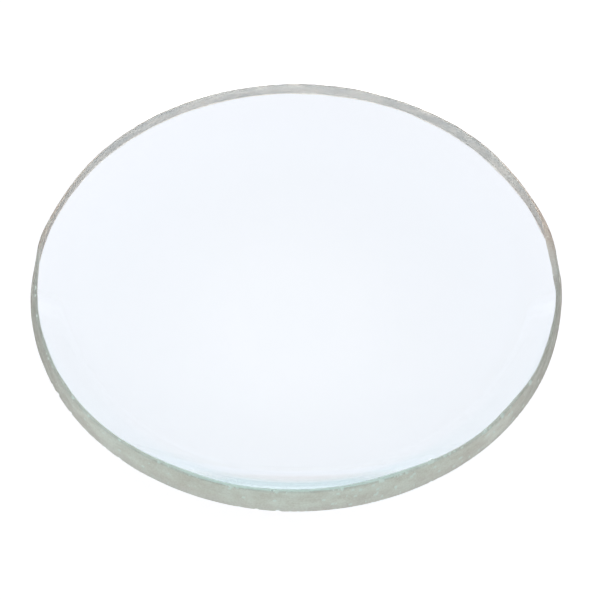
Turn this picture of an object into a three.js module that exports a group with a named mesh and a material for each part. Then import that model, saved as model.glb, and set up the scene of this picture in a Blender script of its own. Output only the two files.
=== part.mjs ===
// Watch glass: one shallow round dish of clear soda-lime glass with a ground rim.
// Millimetres, +Z up. The origin is on the table under the middle of the dish,
// which stands on the lowest point of its domed underside with its hollow face up.

import * as THREE from 'three';

// Driving dimensions
const RIM_RADIUS = 32.5; // widest part of the dish, at the foot of the ground band
const BAND_HEIGHT = 3.0; // ground band, from its lower arris straight up to its upper arris
const BAND_LEAN = 0.8; // how far the top of the ground band stands inside its foot
const ARRIS = 0.14; // small bevel that takes the sharp corner off both edges of the band
const HOLLOW_CURVE = 58; // radius of curvature of the hollow upper face
const CENTRE_WALL = 3.3; // thickness of the glass in the middle
const TAPER_FROM = 25.8; // distance from the middle where the wall starts to thin towards the rim
const TAPER_FULL = 29.2; // distance from the middle where the taper is straight
const TAPER_RATE = 0.235; // thickness lost there for each millimetre further out
const REST_RADIUS = 4; // the few millimetres in the middle of the underside that touch the table

// Fineness of the faceted surface
const TURN_STEPS = 72;
const ARC_STEPS = 12;

// Edge of the underside and of the hollow face, where the arrises start
const UNDERSIDE_EDGE = RIM_RADIUS - ARRIS;
const HOLLOW_EDGE = RIM_RADIUS - BAND_LEAN - ARRIS;

// Height of the hollow face over the lowest point of the full dome.
function hollowHeight(radius) {
  return CENTRE_WALL + HOLLOW_CURVE - Math.sqrt(HOLLOW_CURVE ** 2 - radius ** 2);
}

// Thickness that the taper takes off the wall at a distance from the middle.
function taper(radius) {
  const blend = TAPER_FULL - TAPER_FROM;
  const past = Math.max(radius - TAPER_FROM, 0);
  return TAPER_RATE * (past < blend ? past ** 2 / (2 * blend) : past - blend / 2);
}

// Upright thickness of the wall. It swells a little from the middle outwards, just enough
// to leave the band its height after the taper.
function wall(radius) {
  const rimWall = hollowHeight(UNDERSIDE_EDGE) - hollowHeight(HOLLOW_EDGE) + BAND_HEIGHT;
  const swell = rimWall + taper(UNDERSIDE_EDGE) - CENTRE_WALL;
  return CENTRE_WALL + swell * (radius / UNDERSIDE_EDGE) ** 2 - taper(radius);
}

function undersideHeight(radius) {
  return hollowHeight(radius) - wall(radius);
}

// Points of a face between two distances from the middle.
function facePoints(heightAt, from, to) {
  const points = [];
  for (let step = 0; step <= ARC_STEPS; step += 1) {
    const radius = THREE.MathUtils.lerp(from, to, step / ARC_STEPS);
    points.push(new THREE.Vector2(radius, heightAt(radius)));
  }
  return points;
}

// Half outline of the dish. It starts and ends on the axis.
function dishOutline() {
  const restHeight = undersideHeight(REST_RADIUS);
  const bandFoot = undersideHeight(UNDERSIDE_EDGE);
  const rimTop = hollowHeight(HOLLOW_EDGE);
  const outline = [
    new THREE.Vector2(0, restHeight),
    ...facePoints(undersideHeight, REST_RADIUS, UNDERSIDE_EDGE),
    new THREE.Vector2(RIM_RADIUS, bandFoot + ARRIS),
    new THREE.Vector2(RIM_RADIUS - BAND_LEAN, rimTop - ARRIS),
    ...facePoints(hollowHeight, HOLLOW_EDGE, 0),
  ];
  return outline.map((point) => new THREE.Vector2(point.x, point.y - restHeight));
}

function makeDish() {
  const geometry = new THREE.LatheGeometry(dishOutline(), TURN_STEPS);
  // LatheGeometry turns its outline about Y, and this model's axis is Z.
  geometry.rotateX(Math.PI / 2);
  const material = new THREE.MeshStandardMaterial({ color: 0xe6eeea, roughness: 0.08, metalness: 0 });
  const mesh = new THREE.Mesh(geometry, material);
  mesh.name = 'watch_glass';
  return mesh;
}

const watchGlass = new THREE.Group();
watchGlass.add(makeDish());

export default watchGlass;
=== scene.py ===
"""Looks of the watch glass: one dish of clear glass with polished faces and a ground rim.

The dish is a single closed skin in metres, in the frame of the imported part. Its half outline
runs from the middle of the hollow face out to the lip, across a narrow ground bevel, over the
upper arris, down the ground band, over the lower arris and back to the middle of the domed
underside. The disc is cut from the bowl by hand, so the place and lean of the band and the width
of the bevel change a little on the way round. The rings near the band are finer than the rest,
and carry the relief of the grinding, its pits and the chips.
"""

import math
import random

import bpy
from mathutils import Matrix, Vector, noise


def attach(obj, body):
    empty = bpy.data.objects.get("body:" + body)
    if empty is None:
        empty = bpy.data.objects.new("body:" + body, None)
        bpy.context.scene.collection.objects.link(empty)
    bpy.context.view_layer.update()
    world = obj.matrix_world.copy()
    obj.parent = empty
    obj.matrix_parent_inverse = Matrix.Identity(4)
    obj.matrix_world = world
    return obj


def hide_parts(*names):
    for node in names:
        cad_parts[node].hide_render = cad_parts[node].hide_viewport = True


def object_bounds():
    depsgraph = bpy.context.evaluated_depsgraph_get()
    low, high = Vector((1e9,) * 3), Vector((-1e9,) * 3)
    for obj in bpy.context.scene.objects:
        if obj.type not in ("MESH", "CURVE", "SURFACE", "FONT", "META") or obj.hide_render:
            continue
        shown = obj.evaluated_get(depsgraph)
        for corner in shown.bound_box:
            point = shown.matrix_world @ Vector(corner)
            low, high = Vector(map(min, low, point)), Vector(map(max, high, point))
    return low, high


MM = 0.001

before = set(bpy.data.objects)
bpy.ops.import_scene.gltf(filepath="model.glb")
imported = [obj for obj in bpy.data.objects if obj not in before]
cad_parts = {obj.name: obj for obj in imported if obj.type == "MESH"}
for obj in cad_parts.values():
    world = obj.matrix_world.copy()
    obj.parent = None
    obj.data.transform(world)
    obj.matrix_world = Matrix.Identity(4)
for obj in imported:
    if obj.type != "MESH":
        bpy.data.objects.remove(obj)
CAD_LOW, CAD_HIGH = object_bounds()

# Sizes of the dish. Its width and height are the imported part's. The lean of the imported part's
# band is split here into a lean and a bevel.
RIM_RADIUS = (CAD_HIGH.x - CAD_LOW.x) / 2
RIM_TOP = CAD_HIGH.z
BAND_HEIGHT = 3.0 * MM
BAND_LEAN = 0.55 * MM
BEVEL_WIDTH = 0.3 * MM
BEVEL_DROP = 0.2 * MM  # how far a bevel of that width falls to its outer edge
ARRIS = 0.14 * MM  # of the band's two edges
LIP_ARRIS = 0.05 * MM  # of the bevel's inner edge
HOLLOW_CURVE = 58.0 * MM
TAPER_FROM = 25.8 * MM
TAPER_FULL = 29.2 * MM
TAPER_RATE = 0.235
TILT = 0.2 * MM  # extra wall at the rim towards -Y, and missing wall towards +Y

# The cut edge lies a little inside the widest circle. Its bulges and hollows, of the foot, the top
# and the width of the bevel, are (middle, half width, size), in degrees from +X and in metres.
EDGE_INSET = 0.3 * MM
FOOT_BULGES = (
    (2, 10, 0.23 * MM),
    (34, 18, -0.18 * MM),
    (180, 12, 0.08 * MM),
    (-62, 16, -0.10 * MM),
    (-95, 30, 0.04 * MM),
)
TOP_BULGES = (
    (2, 12, -0.13 * MM),
    (8, 11, 0.33 * MM),
    (46, 8, 0.10 * MM),
    (82, 8, 0.08 * MM),
    (154, 14, -0.12 * MM),
    (172, 6, 0.30 * MM),
    (180, 14, -0.20 * MM),
    (-142, 13, 0.22 * MM),
    (-117, 7, -0.10 * MM),
    (-80, 22, -0.15 * MM),
    (-67, 8, -0.16 * MM),
    (-50, 8, 0.26 * MM),
    (-28, 18, 0.17 * MM),
)
BEVEL_BULGES = (
    (6, 8, 0.64 * MM),
    (-2.5, 3, 0.13 * MM),
    (170, 7, 0.24 * MM),
    (-33, 5, -0.10 * MM),
    (-56, 7, -0.17 * MM),
    (-72, 6, 0.17 * MM),
    (-111, 5, 0.15 * MM),
    (-131, 8, -0.12 * MM),
    (-157, 5, 0.10 * MM),
)

# Finer unevenness of the edge, as (size, length of one bump, seed), in metres
TOP_DRIFTS = ((0.03 * MM, 5 * MM, 7.7), (0.015 * MM, 1.2 * MM, 1.3))
FOOT_DRIFT = (0.02 * MM, 9 * MM, 3.1)
# The same with the size as a share of the width of the bevel or the arris
BEVEL_DRIFT = (0.15, 6 * MM, 4.2)
UPPER_ARRIS_DRIFT = (0.3, 2.5 * MM, 5.5)
LOWER_ARRIS_DRIFT = (0.3, 2.5 * MM, 9.5)

# Fineness of the skin
TURN_STEPS = 540
FINE_TIMES = 3
HOLLOW_STEPS = 28
UNDERSIDE_STEPS = 30
MARGIN_STEPS = 5
LIP_STEPS = 3
BEVEL_STEPS = 3
ARRIS_STEPS = 6
BAND_STEPS = 11
HOLLOW_FINE_FROM = 30.2 * MM
UNDERSIDE_FINE_FROM = 31.2 * MM


# Shape of the bowl

HOLLOW_EDGE = RIM_RADIUS - BAND_LEAN - BEVEL_WIDTH
UNDERSIDE_EDGE = RIM_RADIUS - ARRIS


def climb(radius):
    """Height that the hollow face has climbed at a distance from its middle."""
    return HOLLOW_CURVE - math.sqrt(HOLLOW_CURVE ** 2 - radius ** 2)


CENTRE_WALL = RIM_TOP - climb(HOLLOW_EDGE)


def hollow_height(radius, turn=0.0):
    """Height of the hollow face, which is the same all round."""
    return CENTRE_WALL + climb(radius)


def taper(radius):
    """Thickness that the wall has lost at a distance from the middle, as it thins to the rim."""
    blend = TAPER_FULL - TAPER_FROM
    past = max(radius - TAPER_FROM, 0.0)
    return TAPER_RATE * (past * past / (2 * blend) if past < blend else past - blend / 2)


SWELL = hollow_height(UNDERSIDE_EDGE) - hollow_height(HOLLOW_EDGE) + BAND_HEIGHT
SWELL += taper(UNDERSIDE_EDGE) - CENTRE_WALL


def underside_height(radius, turn):
    """The wall swells outwards before its taper, and is a little thicker towards -Y."""
    wall = CENTRE_WALL + SWELL * (radius / UNDERSIDE_EDGE) ** 2 - taper(radius)
    return hollow_height(radius) - wall + TILT * radius / RIM_RADIUS * math.sin(turn)


# Shape of the edge

def bumps(places, angle):
    """Sum of smooth bumps round the dish at an angle in degrees."""
    total = 0.0
    for middle, half_width, size in places:
        away = (angle - middle + 180) % 360 - 180
        total += size * math.exp(-(away / half_width) ** 2)
    return total


def drift(angle, size, length, seed):
    """Smooth unevenness along the rim, to about this size either way, with bumps of this length."""
    reach = RIM_RADIUS / length
    turn = math.radians(angle)
    return 2 * size * noise.noise(Vector((reach * math.cos(turn), reach * math.sin(turn), seed)))


def between(start, end, share):
    return start + (end - start) * share


def rounded(before, corner, after, size, steps):
    """Points of a small curve that takes off the corner between two runs of the outline."""
    def towards(point):
        dr, dz = point[0] - corner[0], point[1] - corner[1]
        share = size / math.hypot(dr, dz)
        return corner[0] + dr * share, corner[1] + dz * share

    start, end = towards(before), towards(after)
    points = []
    for step in range(steps + 1):
        t = step / steps
        weights = ((1 - t) ** 2, 2 * t * (1 - t), t * t)
        points.append(tuple(
            sum(w * p[axis] for w, p in zip(weights, (start, corner, end))) for axis in (0, 1)
        ))
    return points


def face_radii(start, end, steps):
    """Distances from the middle, closer together at the end. The end itself is left out."""
    return [between(start, end, math.sin(math.pi / 2 * step / steps)) for step in range(steps)]


def straight(start, end, steps):
    """Points between two points of the outline, without either of them."""
    shares = [step / steps for step in range(1, steps)]
    return [tuple(between(a, b, share) for a, b in zip(start, end)) for share in shares]


def edge_section(angle):
    """The finely cut run of the outline at an angle in degrees."""
    turn = math.radians(angle)
    top_radius = RIM_RADIUS - EDGE_INSET - BAND_LEAN + bumps(TOP_BULGES, angle)
    top_radius += sum(drift(angle, *finer) for finer in TOP_DRIFTS)
    foot_radius = RIM_RADIUS - EDGE_INSET + bumps(FOOT_BULGES, angle) + drift(angle, *FOOT_DRIFT)
    bevel = BEVEL_WIDTH * (1 + drift(angle, *BEVEL_DRIFT)) + bumps(BEVEL_BULGES, angle)
    lip_radius = top_radius - bevel

    inner = (lip_radius - ARRIS, hollow_height(lip_radius - ARRIS))
    lip = (lip_radius, hollow_height(lip_radius))
    top = (top_radius, hollow_height(top_radius - BEVEL_WIDTH) - BEVEL_DROP)
    foot = (foot_radius, underside_height(foot_radius, turn))
    below = (foot_radius - ARRIS, underside_height(foot_radius - ARRIS, turn))
    sharp = rounded(inner, lip, top, LIP_ARRIS, LIP_STEPS)
    upper_arris = ARRIS * (1 + drift(angle, *UPPER_ARRIS_DRIFT))
    lower_arris = ARRIS * (1 + drift(angle, *LOWER_ARRIS_DRIFT))
    upper = rounded(lip, top, foot, upper_arris, ARRIS_STEPS)
    lower = rounded(top, foot, below, lower_arris, ARRIS_STEPS)

    inward = face_radii(HOLLOW_FINE_FROM, sharp[0][0], MARGIN_STEPS)
    hollow = [(radius, hollow_height(radius)) for radius in inward]
    outward = face_radii(UNDERSIDE_FINE_FROM, lower[-1][0], MARGIN_STEPS)[::-1]
    underside = [(radius, underside_height(radius, turn)) for radius in outward]
    edge = sharp + straight(sharp[-1], upper[0], BEVEL_STEPS) + upper
    edge += straight(upper[-1], lower[0], BAND_STEPS) + lower
    return hollow + edge + underside


# Numbers of the fine rings where the runs of the edge start and end
LIP_FROM = MARGIN_STEPS
BEVEL_FROM = LIP_FROM + LIP_STEPS
BAND_TOP = BEVEL_FROM + BEVEL_STEPS
BAND_FROM = BAND_TOP + ARRIS_STEPS
BAND_TO = BAND_FROM + BAND_STEPS
LAST_GROUND = BAND_TO + ARRIS_STEPS

# The rings in the middle of the two arrises, and the last one with marks of the wheel
UPPER_EDGE = BAND_TOP + ARRIS_STEPS // 2
LOWER_EDGE = BAND_TO + ARRIS_STEPS // 2
LAST_MARKED = BAND_TO + 2

GRINDING_DEPTH = 0.045 * MM
# Marks of the wheel, as (share of the depth, length along the rim, height across it)
LONG_MARKS = (0.6, 2.6 * MM, 0.7 * MM)
SHORT_MARKS = (0.4, 0.7 * MM, 0.35 * MM)


def grinding(x, y, z):
    """Depth of the wheel's marks at a point on the band: long along the rim, short across it."""
    depth = 0.5
    for share, length, height in (LONG_MARKS, SHORT_MARKS):
        depth += share * noise.noise(Vector((x / length, y / length, z / height)))
    return GRINDING_DEPTH * depth


def edge_rings():
    """Vertex places of the fine rings, with the relief of the grinding on the band."""
    count = TURN_STEPS * FINE_TIMES
    rings = [[] for _ in range(LAST_GROUND + MARGIN_STEPS + 1)]
    for step in range(count):
        angle = 360 * step / count
        turn = math.radians(angle)
        for index, (radius, height) in enumerate(edge_section(angle)):
            x, y = radius * math.cos(turn), radius * math.sin(turn)
            if BAND_TOP <= index <= LAST_MARKED:
                share = 1 - grinding(x, y, height) / radius
                x, y = x * share, y * share
            rings[index].append(Vector((x, y, height)))
    return rings


# Runs of small chips: (number, from angle, to angle, ring, tilt of the blow), in degrees
CHIP_RUNS = (
    (26, -85, -25, UPPER_EDGE, 50),
    (16, 16, 65, BEVEL_FROM, 60),
    (30, 65, 275, UPPER_EDGE, 50),
    (28, 205, 335, LOWER_EDGE, -35),
)
# Single larger nicks: (angle, ring, tilt of the blow, ball that it is cut with, depth)
NICKS = (
    (210.6, LOWER_EDGE, -10, 0.5 * MM, 0.17 * MM),
)
# Runs of pits on the band: (number, from angle, to angle, tilt of the blow)
PIT_RUNS = (
    (34, -85, -25, 15),
    (50, -180, 180, 15),
)
# Smallest and largest radius of the ball that cuts a chip or a pit, and depths as shares of it
CHIP_BALL = (0.12 * MM, 0.42 * MM)
CHIP_DEPTH = (0.2, 0.42)
PIT_BALL = (0.14 * MM, 0.3 * MM)
PIT_DEPTH = (0.12, 0.3)
CHIP_SPREAD = 25  # degrees that the tilt of a chip may be off the tilt of its run
CLEANNESS = 0.9  # how far a vertex in a chip is pushed: 1 is a clean cut, the whole way
WEAR_SEED = 11


def bite(rings, turn, ring, tilt, ball, depth):
    """Pushes the skin out of a ball that reaches in to a depth. Returns the vertices it moved."""
    count = len(rings[ring])
    middle = round(turn / 360 * count) % count
    angle = math.radians(turn)
    rise = math.radians(tilt)
    flat = math.cos(rise)
    outwards = Vector((math.cos(angle) * flat, math.sin(angle) * flat, math.sin(rise)))
    centre = rings[ring][middle] + outwards * (ball - depth)
    reach = math.ceil(ball / (math.tau * RIM_RADIUS / count)) + 1
    moved = []
    for index in range(1, len(rings) - 1):
        for step in range(middle - reach, middle + reach + 1):
            place = rings[index][step % count]
            away = place - centre
            if away.length < ball:
                pushed = centre + away.normalized() * ball
                rings[index][step % count] = between(place, pushed, CLEANNESS)
                moved.append((index, step % count))
    return moved


def wear(rings):
    """Chips the edges of the band and pits it. Returns the vertices inside chips and pits."""
    dice = random.Random(WEAR_SEED)
    fresh = set()
    for number, start, end, ring, tilt in CHIP_RUNS:
        for _ in range(number):
            ball = between(*CHIP_BALL, dice.random() ** 2)
            depth = ball * dice.uniform(*CHIP_DEPTH)
            blow = tilt + dice.uniform(-CHIP_SPREAD, CHIP_SPREAD)
            fresh.update(bite(rings, dice.uniform(start, end), ring, blow, ball, depth))
    for angle, ring, tilt, ball, depth in NICKS:
        fresh.update(bite(rings, angle, ring, tilt, ball, depth))
    for number, start, end, tilt in PIT_RUNS:
        for _ in range(number):
            ball = dice.uniform(*PIT_BALL)
            ring = dice.randint(BAND_FROM + 1, BAND_TO - 1)
            depth = ball * dice.uniform(*PIT_DEPTH)
            fresh.update(bite(rings, dice.uniform(start, end), ring, tilt, ball, depth))
    return fresh


# The skin

def plain_ring(radius, height_at):
    """Vertex places of a coarser ring on one of the faces. In the middle it is a single vertex."""
    places = []
    for step in range(TURN_STEPS if radius else 1):
        turn = math.tau * step / TURN_STEPS
        places.append(Vector((radius * math.cos(turn), radius * math.sin(turn), height_at(radius, turn))))
    return places


def strip(upper, lower):
    """Faces between two rings of vertex numbers. A ring may be a single vertex, or finer."""
    faces = []
    count = max(len(upper), len(lower))
    for step in range(count):
        after = step + 1
        corners = []
        for ring, order in ((upper, (after, step)), (lower, (step, after))):
            times = count // len(ring)
            corners += [ring[turn // times % len(ring)] for turn in order]
        faces.append(tuple(dict.fromkeys(corners)))
    return faces


LOWER_ARRIS_SHARE = 0.5
BEVEL_RISE = 1.5


def ring_looks(index):
    """How much of an arris a fine ring is, and how high it stands: 0 at the foot of the band, 1 at
    its top, and more on the bevel."""
    if index <= BAND_TOP:
        return 0.0, BEVEL_RISE
    arris = 1.0 if index < BAND_FROM else LOWER_ARRIS_SHARE * (BAND_TO < index <= LAST_GROUND)
    return arris, min(max((BAND_TO - index) / BAND_STEPS, 0.0), 1.0)


def make_dish():
    """Builds the skin, with the numbers that its two materials read."""
    fine = edge_rings()
    fresh = wear(fine)
    hollow = face_radii(0.0, HOLLOW_FINE_FROM, HOLLOW_STEPS)
    underside = face_radii(0.0, UNDERSIDE_FINE_FROM, UNDERSIDE_STEPS)[::-1]
    rings = [plain_ring(radius, hollow_height) for radius in hollow] + fine
    rings += [plain_ring(radius, underside_height) for radius in underside]

    verts, numbers = [], []
    for ring in rings:
        numbers.append(range(len(verts), len(verts) + len(ring)))
        verts += ring
    chipped = {numbers[HOLLOW_STEPS + index][step] for index, step in fresh}

    faces, slots = [], []
    for run, (upper, lower) in enumerate(zip(numbers, numbers[1:])):
        ground = LIP_FROM <= run - HOLLOW_STEPS < LAST_GROUND
        for face in strip(upper, lower):
            faces.append(face)
            slots.append(int(ground or chipped.issuperset(face)))

    arris, rise, chip = ([0.0] * len(verts) for _ in range(3))
    for index in range(len(fine)):
        for vert in numbers[HOLLOW_STEPS + index]:
            arris[vert], rise[vert] = ring_looks(index)
    for vert in chipped:
        chip[vert] = 1.0

    mesh = bpy.data.meshes.new("watch_glass_body")
    mesh.from_pydata(verts, [], faces)
    mesh.polygons.foreach_set("material_index", slots)
    mesh.polygons.foreach_set("use_smooth", [True] * len(faces))
    for name, values in (("arris", arris), ("rise", rise), ("chip", chip)):
        mesh.attributes.new(name, "FLOAT", "POINT").data.foreach_set("value", values)
    mesh.update()
    mesh.materials.append(polished_glass())
    mesh.materials.append(ground_glass())
    dish = bpy.data.objects.new("watch_glass_body", mesh)
    bpy.context.scene.collection.objects.link(dish)
    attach(dish, "root")
    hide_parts("watch_glass")


# Materials

GLASS_IOR = 1.52
GLASS_TINT = (0.72, 0.93, 0.96, 1)
TINT_DENSITY = 27.0
SPOT_CORE = 0.6  # share of a spot's radius inside which it has its full strength
SHARP = 0.001  # width of a step that is meant to be sharp


class Recipe:
    """A material's nodes, with short calls for the few kinds that are used here."""

    def __init__(self, name):
        self.material = bpy.data.materials.new(name)
        self.material.use_nodes = True
        self.tree = self.material.node_tree
        self.shader = self.tree.nodes["Principled BSDF"]
        self.place = self.tree.nodes.new("ShaderNodeTexCoord").outputs["Object"]

    def link(self, source, target):
        self.tree.links.new(source, target)

    def stretched(self, scale):
        """The place in the object, squeezed along each axis."""
        mapping = self.tree.nodes.new("ShaderNodeMapping")
        mapping.inputs["Scale"].default_value = scale
        self.link(self.place, mapping.inputs["Vector"])
        return mapping.outputs[0]

    def cloud(self, place, size, detail, roughness=0.5):
        """Noise from 0 to 1 with clouds of a size in metres."""
        node = self.tree.nodes.new("ShaderNodeTexNoise")
        node.inputs["Scale"].default_value = 1 / size
        node.inputs["Detail"].default_value = detail
        node.inputs["Roughness"].default_value = roughness
        self.link(place, node.inputs["Vector"])
        return node.outputs["Fac"]

    def spots(self, size, radius, share):
        """1 inside round spots, in this share of the cells of a size in metres, else 0."""
        cells = self.tree.nodes.new("ShaderNodeTexVoronoi")
        cells.inputs["Scale"].default_value = 1 / size
        self.link(self.place, cells.inputs["Vector"])
        near = self.ranged(cells.outputs["Distance"], radius, radius * SPOT_CORE)
        lot = self.tree.nodes.new("ShaderNodeSeparateColor")
        self.link(cells.outputs["Color"], lot.inputs[0])
        chosen = self.ranged(lot.outputs[0], share, share - SHARP)
        return self.times(near, chosen)

    def ranged(self, value, low, high, to_low=0, to_high=1):
        """A value's place between two numbers, held within them and scaled to two others."""
        node = self.tree.nodes.new("ShaderNodeMapRange")
        for name, number in zip(("From Min", "From Max", "To Min", "To Max"), (low, high, to_low, to_high)):
            node.inputs[name].default_value = number
        self.link(value, node.inputs["Value"])
        return node.outputs["Result"]

    def calculated(self, operation, first, second=0.0):
        """What a maths node makes of numbers or sockets."""
        node = self.tree.nodes.new("ShaderNodeMath")
        node.operation = operation
        for socket, value in zip(node.inputs, (first, second)):
            if isinstance(value, (int, float)):
                socket.default_value = value
            else:
                self.link(value, socket)
        return node.outputs[0]

    def sum(self, first, second):
        return self.calculated("ADD", first, second)

    def times(self, first, second):
        return self.calculated("MULTIPLY", first, second)

    def mixed(self, share, first, second):
        """A colour between two, which are colours or sockets."""
        node = self.tree.nodes.new("ShaderNodeMix")
        node.data_type = "RGBA"
        for socket, value in zip((node.inputs[0], node.inputs[6], node.inputs[7]), (share, first, second)):
            if isinstance(value, (int, float, tuple)):
                socket.default_value = value
            else:
                self.link(value, socket)
        return node.outputs[2]

    def stored(self, name):
        """A number kept with the vertices of the skin."""
        node = self.tree.nodes.new("ShaderNodeAttribute")
        node.attribute_name = name
        return node.outputs["Fac"]

    def part(self, axis, place):
        node = self.tree.nodes.new("ShaderNodeSeparateXYZ")
        self.link(place, node.inputs[0])
        return node.outputs[axis]

    def distance(self, place):
        node = self.tree.nodes.new("ShaderNodeVectorMath")
        node.operation = "LENGTH"
        self.link(place, node.inputs[0])
        return node.outputs["Value"]

    def bump(self, height, depth, strength):
        node = self.tree.nodes.new("ShaderNodeBump")
        node.inputs["Distance"].default_value = depth
        node.inputs["Strength"].default_value = strength
        self.link(height, node.inputs["Height"])
        self.link(node.outputs[0], self.shader.inputs["Normal"])


def glass_recipe(name):
    """A recipe with the shader's index and the pale tint that deep glass takes on."""
    recipe = Recipe(name)
    recipe.shader.inputs["IOR"].default_value = GLASS_IOR
    tint = recipe.tree.nodes.new("ShaderNodeVolumeAbsorption")
    tint.inputs["Color"].default_value = GLASS_TINT
    tint.inputs["Density"].default_value = TINT_DENSITY
    recipe.link(tint.outputs[0], recipe.tree.nodes["Material Output"].inputs["Volume"])
    return recipe


# The faces' colour darkens from the middle to the rim: painted shade.
FILM_MIDDLE = (0.965, 0.975, 1.0, 1)
RIM_PAINTED_SHADE = (0.90, 0.915, 0.95, 1)
RIM_PAINTED_SHADE_BLEND = (8 * MM, 30 * MM)  # distances from the middle of the dish
# Painted warm-grey shade on the hollow face inside the front lip, in place of dispersion.
FRONT_PAINTED_FRINGE = (0.80, 0.76, 0.75, 1)
FRINGE_FROM = (-28.1 * MM, -28.7 * MM)  # along Y
FRINGE_ABOVE = (9.8 * MM, 10.2 * MM)  # a height between the underside and the hollow face there
DUST = (0.5, 0.5, 0.48, 1)
DUST_GRAINS = (5.5 * MM, 0.014, 0.35)  # size of a cell, radius as a share of it, share of cells
DUST_ROUGHNESS = 0.5


def polished_glass():
    """Clear faces with a few grains of dust and a faint even tint, with painted shade that deepens towards
    the rim. A painted warm-grey shade on the hollow face, inside its lip at the front, stands in for
    dispersion, which isn't rendered."""
    recipe = glass_recipe("polished_glass")
    shader = recipe.shader.inputs
    dust = recipe.spots(*DUST_GRAINS)
    outwards = recipe.distance(recipe.stretched((1, 1, 0)))
    # Painted shade that darkens the faces towards the rim.
    tint_and_painted_shade = recipe.mixed(recipe.ranged(outwards, *RIM_PAINTED_SHADE_BLEND), FILM_MIDDLE, RIM_PAINTED_SHADE)
    # Painted warm-grey shade inside the front lip, in place of dispersion.
    front = recipe.ranged(recipe.part("Y", recipe.place), *FRINGE_FROM)
    above = recipe.ranged(recipe.part("Z", recipe.place), *FRINGE_ABOVE)
    tint_and_painted_shade = recipe.mixed(recipe.times(front, above), tint_and_painted_shade, FRONT_PAINTED_FRINGE)
    recipe.link(recipe.mixed(dust, tint_and_painted_shade, DUST), shader["Base Color"])
    recipe.link(recipe.ranged(dust, 0, 1, 0, DUST_ROUGHNESS), shader["Roughness"])
    shader["Transmission Weight"].default_value = 1.0
    return recipe.material


# Sizes of the tones on the ground band
CLOUD_SIZE = 2.2 * MM
PATCH_SIZE = 14 * MM
GRAIN_SIZE = 0.22 * MM
CLOUD_SQUASH = (1, 1, 2.2)  # makes clouds longer along the rim than they are high
CLOUD_SPREAD = (0.3, 0.7)  # range of the noise that clouds and grain use
TONE_SPREAD = (0.36, 0.62)  # range of the noise between the dark and the pale tone
CLOUD_SHARE = 0.75
# Painted glints on the band.
PAINTED_GLINTS = (1.1 * MM, 0.11, 0.3)  # as for the dust

# Tones of the ground band, and how much of each is laid over the clouds
CLOUD_DARK = (0.78, 0.55, 0.42, 1)
CLOUD_PALE = (0.98, 0.78, 0.64, 1)
FOOT_BROWN = (0.84, 0.60, 0.50, 1)
FOOT_SHARE = 0.85
FOOT_RISE = (0.5, -0.1)  # levels between which the brown comes in
FOOT_WAVER = 0.25  # how far the clouds move that level up and down
ARRIS_GREY = (0.40, 0.37, 0.32, 1)
ARRIS_SHARE = 0.3
# Painted light on the bevel, strongest near the Y axis.
BEVEL_PAINTED_LIGHT = (0.98, 0.95, 0.86, 1)
BEVEL_PAINTED_LIGHT_SHARE = 0.95
ONTO_BEVEL = (1.1, 1.4)  # from the top of the band, whose rise is 1, to the bevel
BEVEL_PAINTED_LIGHT_FADE = (9 * MM, 18 * MM)  # distances from the Y axis between which the pale tone fades
BEVEL_PAINTED_LIGHT_REST = 0.2  # how much of it is left beyond
# Colour of the painted glints, also given to chip faces.
PAINTED_GLINT_AND_CHIP = (1.0, 0.92, 0.82, 1)
# Painted shade on the sides of the band.
SIDE_PAINTED_SHADE = (0.44, 0.325, 0.26, 1)
SIDE_PAINTED_SHADE_SHARE = (0.75, 0.1)  # at the front and at the back
# Painted light on the back of the band.
BACK_PAINTED_LIGHT = (0.96, 0.86, 0.75, 1)
BACK_PAINTED_LIGHT_SHARE = 0.7
GRAIN_DARK = (0.1, 0.1, 0.1, 1)
GRAIN_PALE = (1, 1, 1, 1)
GRAIN_SHARE = 0.16

# Roughness of the grinding at the front, and factors for the bevel, the sides and the back
ROUGHNESS = (0.56, 0.34)  # where the clouds are dark, and where they are pale
BEVEL_COARSENESS = 0.75
# These distances also place the painted shade on the sides.
PAINTED_SHADE_AND_COARSE_SIDES = (24 * MM, 31 * MM)  # distances from the Y axis
SIDE_COARSENESS = 1.7
# This range along Y also places the painted light on the back.
PAINTED_LIGHT_AND_COARSE_BACK = (-2 * MM, 18 * MM)  # along Y
BACK_COARSENESS = 1.70
FRONT_CLEARNESS = 0.85  # share of the light that goes through, where the rest is spread
BACK_CLEARNESS = 0.92
RELIEF_DEPTH = 0.05 * MM
RELIEF_STRENGTH = 0.6
RELIEF_CLOUDS = 0.6


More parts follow.
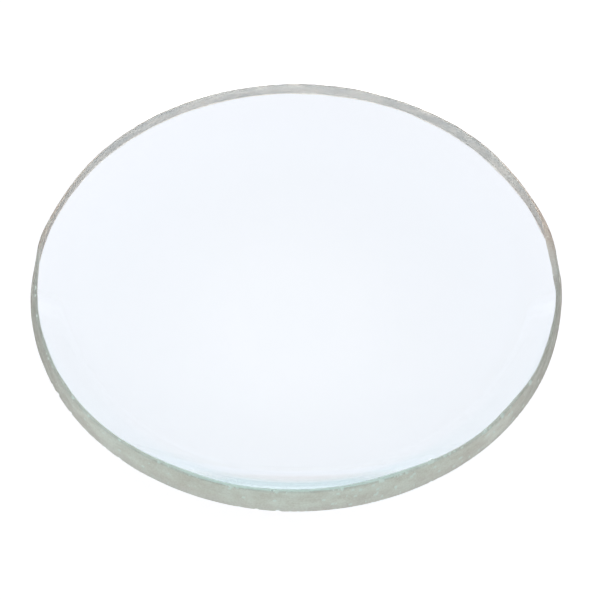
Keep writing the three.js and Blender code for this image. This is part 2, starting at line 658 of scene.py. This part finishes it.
def ground_glass():
    """The frosted band: grey-green clouds, browner at its foot, with fine grain, specks that are painted
    glints, and pale chips. The bevel has painted light at the front. The sides have painted shade, and the
    back has painted light and is clearer."""
    recipe = glass_recipe("ground_glass")
    shader = recipe.shader.inputs
    clouds = recipe.cloud(recipe.stretched(CLOUD_SQUASH), CLOUD_SIZE, detail=3, roughness=0.6)
    patches = recipe.cloud(recipe.place, PATCH_SIZE, detail=1)
    grain = recipe.cloud(recipe.place, GRAIN_SIZE, detail=2)
    rise = recipe.stored("rise")
    across = recipe.calculated("ABSOLUTE", recipe.part("X", recipe.place))
    # Where the bevel gets its painted light, fading away from the Y axis; the bevel is also smoother there.
    bevel = recipe.times(
        recipe.ranged(rise, *ONTO_BEVEL), recipe.ranged(across, *BEVEL_PAINTED_LIGHT_FADE, 1, BEVEL_PAINTED_LIGHT_REST)
    )
    sides = recipe.ranged(across, *PAINTED_SHADE_AND_COARSE_SIDES)
    behind = recipe.ranged(recipe.part("Y", recipe.place), *PAINTED_LIGHT_AND_COARSE_BACK)

    shade = recipe.sum(recipe.times(clouds, CLOUD_SHARE), recipe.times(patches, 1 - CLOUD_SHARE))
    colour = recipe.mixed(recipe.ranged(shade, *TONE_SPREAD), CLOUD_DARK, CLOUD_PALE)
    level = recipe.sum(rise, recipe.ranged(clouds, *CLOUD_SPREAD, -FOOT_WAVER, FOOT_WAVER))
    colour = recipe.mixed(recipe.ranged(level, *FOOT_RISE, 0, FOOT_SHARE), colour, FOOT_BROWN)
    colour = recipe.mixed(recipe.times(bevel, BEVEL_PAINTED_LIGHT_SHARE), colour, BEVEL_PAINTED_LIGHT)
    arris = recipe.ranged(recipe.stored("arris"), 0, 1, 0, ARRIS_SHARE)
    colour = recipe.mixed(arris, colour, ARRIS_GREY)
    # Painted shade on the sides, fading towards the back.
    painted_side_shade = recipe.times(sides, recipe.ranged(behind, 0, 1, *SIDE_PAINTED_SHADE_SHARE))
    colour = recipe.mixed(painted_side_shade, colour, SIDE_PAINTED_SHADE)
    # Painted light on the back of the band.
    colour = recipe.mixed(recipe.times(behind, BACK_PAINTED_LIGHT_SHARE), colour, BACK_PAINTED_LIGHT)
    speckled = recipe.mixed(recipe.ranged(grain, *CLOUD_SPREAD), GRAIN_DARK, GRAIN_PALE)
    colour = recipe.mixed(GRAIN_SHARE, colour, speckled)
    # Painted glints on the band, and the same pale colour on chip faces.
    glints_and_chips = recipe.calculated("MAXIMUM", recipe.spots(*PAINTED_GLINTS), recipe.stored("chip"))
    recipe.link(recipe.mixed(glints_and_chips, colour, PAINTED_GLINT_AND_CHIP), shader["Base Color"])

    coarse = recipe.times(
        recipe.ranged(sides, 0, 1, 1, SIDE_COARSENESS), recipe.ranged(behind, 0, 1, 1, BACK_COARSENESS)
    )
    coarse = recipe.times(coarse, recipe.ranged(bevel, 0, 1, 1, BEVEL_COARSENESS))
    roughness = recipe.ranged(clouds, *CLOUD_SPREAD, *ROUGHNESS)
    recipe.link(recipe.times(roughness, coarse), shader["Roughness"])
    shader["Specular IOR Level"].default_value = 0.0
    clearness = recipe.ranged(behind, 0, 1, FRONT_CLEARNESS, BACK_CLEARNESS)
    recipe.link(clearness, shader["Transmission Weight"])
    relief = recipe.sum(grain, recipe.times(clouds, RELIEF_CLOUDS))
    recipe.bump(relief, RELIEF_DEPTH, RELIEF_STRENGTH)
    return recipe.material


# Studio

FLOOR_RADIUS = 2.5
FLOOR_CORNERS = 128
FLOOR_GAP = 0.05 * MM
FLOOR_COLOUR = (0.25, 0.25, 0.25, 1)
FLOOR_GLOW = (0.845, 0.845, 0.86, 1)

# A patch of the table top behind the dish glows more strongly, a painted pool of light that is no lamp. Its
# inner and outer edge are distances from the middle of the dish, and its front edge is along Y.
PATCH_INNER = (41.5 * MM, 44.5 * MM)
PATCH_OUTER = (52 * MM, 60 * MM)
PATCH_BEHIND = (14 * MM, 28 * MM)
PATCH_GLOW = 1.4


def make_floor():
    """A pale, faintly lit table top, as wide as the eye can follow."""
    bpy.ops.mesh.primitive_circle_add(vertices=FLOOR_CORNERS, radius=FLOOR_RADIUS, fill_type="NGON")
    floor = bpy.context.object
    floor.name = "floor"
    floor.location.z = -FLOOR_GAP
    recipe = Recipe("pale_table")
    shader = recipe.shader.inputs
    shader["Base Color"].default_value = FLOOR_COLOUR
    shader["Roughness"].default_value = 1.0
    shader["Specular IOR Level"].default_value = 0.0
    shader["Emission Color"].default_value = FLOOR_GLOW
    outwards = recipe.distance(recipe.stretched((1, 1, 0)))
    near = recipe.ranged(outwards, *PATCH_INNER)
    far = recipe.ranged(outwards, *PATCH_OUTER, 1, 0)
    behind = recipe.ranged(recipe.part("Y", recipe.place), *PATCH_BEHIND, 0, PATCH_GLOW)
    patch = recipe.times(recipe.times(near, far), behind)
    recipe.link(recipe.sum(patch, 1.0), shader["Emission Strength"])
    floor.data.materials.append(recipe.material)


SKY_LOW = (0.76, 0.76, 0.76, 1)
SKY_HIGH = (0.88, 0.88, 0.90, 1)
SKY_FADE = (0.30, 0.46)  # sines of the elevations between which the low sky turns into the high one
SKY_TILT = (0.25, 0.26, 0.0)  # extra strength towards +X and +Y, taken off the other side


def make_sky():
    """Soft light from all round: dimmer along the horizon, and brighter towards +X and +Y."""
    world = bpy.data.worlds.new("studio")
    bpy.context.scene.world = world
    world.use_nodes = True
    tree = world.node_tree
    direction = tree.nodes.new("ShaderNodeTexCoord")
    parts = tree.nodes.new("ShaderNodeSeparateXYZ")
    fade = tree.nodes.new("ShaderNodeMapRange")
    fade.interpolation_type = "SMOOTHSTEP"
    fade.inputs["From Min"].default_value, fade.inputs["From Max"].default_value = SKY_FADE
    blend = tree.nodes.new("ShaderNodeMix")
    blend.data_type = "RGBA"
    blend.inputs[6].default_value = SKY_LOW
    blend.inputs[7].default_value = SKY_HIGH
    side = tree.nodes.new("ShaderNodeVectorMath")
    side.operation = "DOT_PRODUCT"
    side.inputs[1].default_value = SKY_TILT
    level = tree.nodes.new("ShaderNodeMath")
    level.inputs[1].default_value = 1.0
    tree.links.new(direction.outputs["Generated"], parts.inputs[0])
    tree.links.new(direction.outputs["Generated"], side.inputs[0])
    tree.links.new(parts.outputs["Z"], fade.inputs["Value"])
    tree.links.new(fade.outputs["Result"], blend.inputs[0])
    tree.links.new(side.outputs["Value"], level.inputs[0])
    tree.links.new(blend.outputs[2], tree.nodes["Background"].inputs["Color"])
    tree.links.new(level.outputs[0], tree.nodes["Background"].inputs["Strength"])


def soft_box(name, location, size, power):
    """A round soft light that faces the dish."""
    data = bpy.data.lights.new(name, "AREA")
    data.shape = "DISK"
    data.size = size
    data.energy = power
    light = bpy.data.objects.new(name, data)
    light.location = location
    light.rotation_mode = "QUATERNION"
    light.rotation_quaternion = Vector(location).to_track_quat("Z", "Y")
    bpy.context.scene.collection.objects.link(light)


# Camera

CAMERA_ELEVATION = math.radians(50.82)
DISH_WIDTH = 2 * (RIM_RADIUS - EDGE_INSET)
CAMERA_DISTANCE = 3.339 * DISH_WIDTH
DISH_IN_FRAME = 0.8885  # share of the picture's width that the dish fills
SHIFT_X, SHIFT_Y = 0.007, -0.0524
SENSOR = 36.0  # width in millimetres, as Blender counts it and the focal length
CLIP_START, CLIP_END = 0.01, 20


def make_camera():
    data = bpy.data.cameras.new("camera")
    camera = bpy.data.objects.new("camera", data)
    bpy.context.scene.collection.objects.link(camera)
    back = Vector((0, -math.cos(CAMERA_ELEVATION), math.sin(CAMERA_ELEVATION)))
    rim_height = hollow_height(DISH_WIDTH / 2 - BAND_LEAN - BEVEL_WIDTH)
    camera.location = Vector((0, 0, rim_height)) + back * CAMERA_DISTANCE
    camera.rotation_mode = "QUATERNION"
    camera.rotation_quaternion = back.to_track_quat("Z", "Y")
    data.sensor_width = SENSOR
    data.lens = SENSOR * DISH_IN_FRAME * CAMERA_DISTANCE / DISH_WIDTH
    data.shift_x, data.shift_y = SHIFT_X, SHIFT_Y
    data.clip_start, data.clip_end = CLIP_START, CLIP_END
    bpy.context.scene.camera = camera


make_dish()
make_floor()
make_sky()
soft_box("key", location=(0.55, -0.7, 0.5), size=0.4, power=0.4)
make_camera()
bpy.context.scene.view_settings.view_transform = "Standard"

# Light that is trapped in the dish takes many bounces inside it before it comes out
BOUNCES = 24
bpy.context.scene.cycles.max_bounces = BOUNCES
bpy.context.scene.cycles.transmission_bounces = BOUNCES
bpy.context.scene.cycles.glossy_bounces = BOUNCES
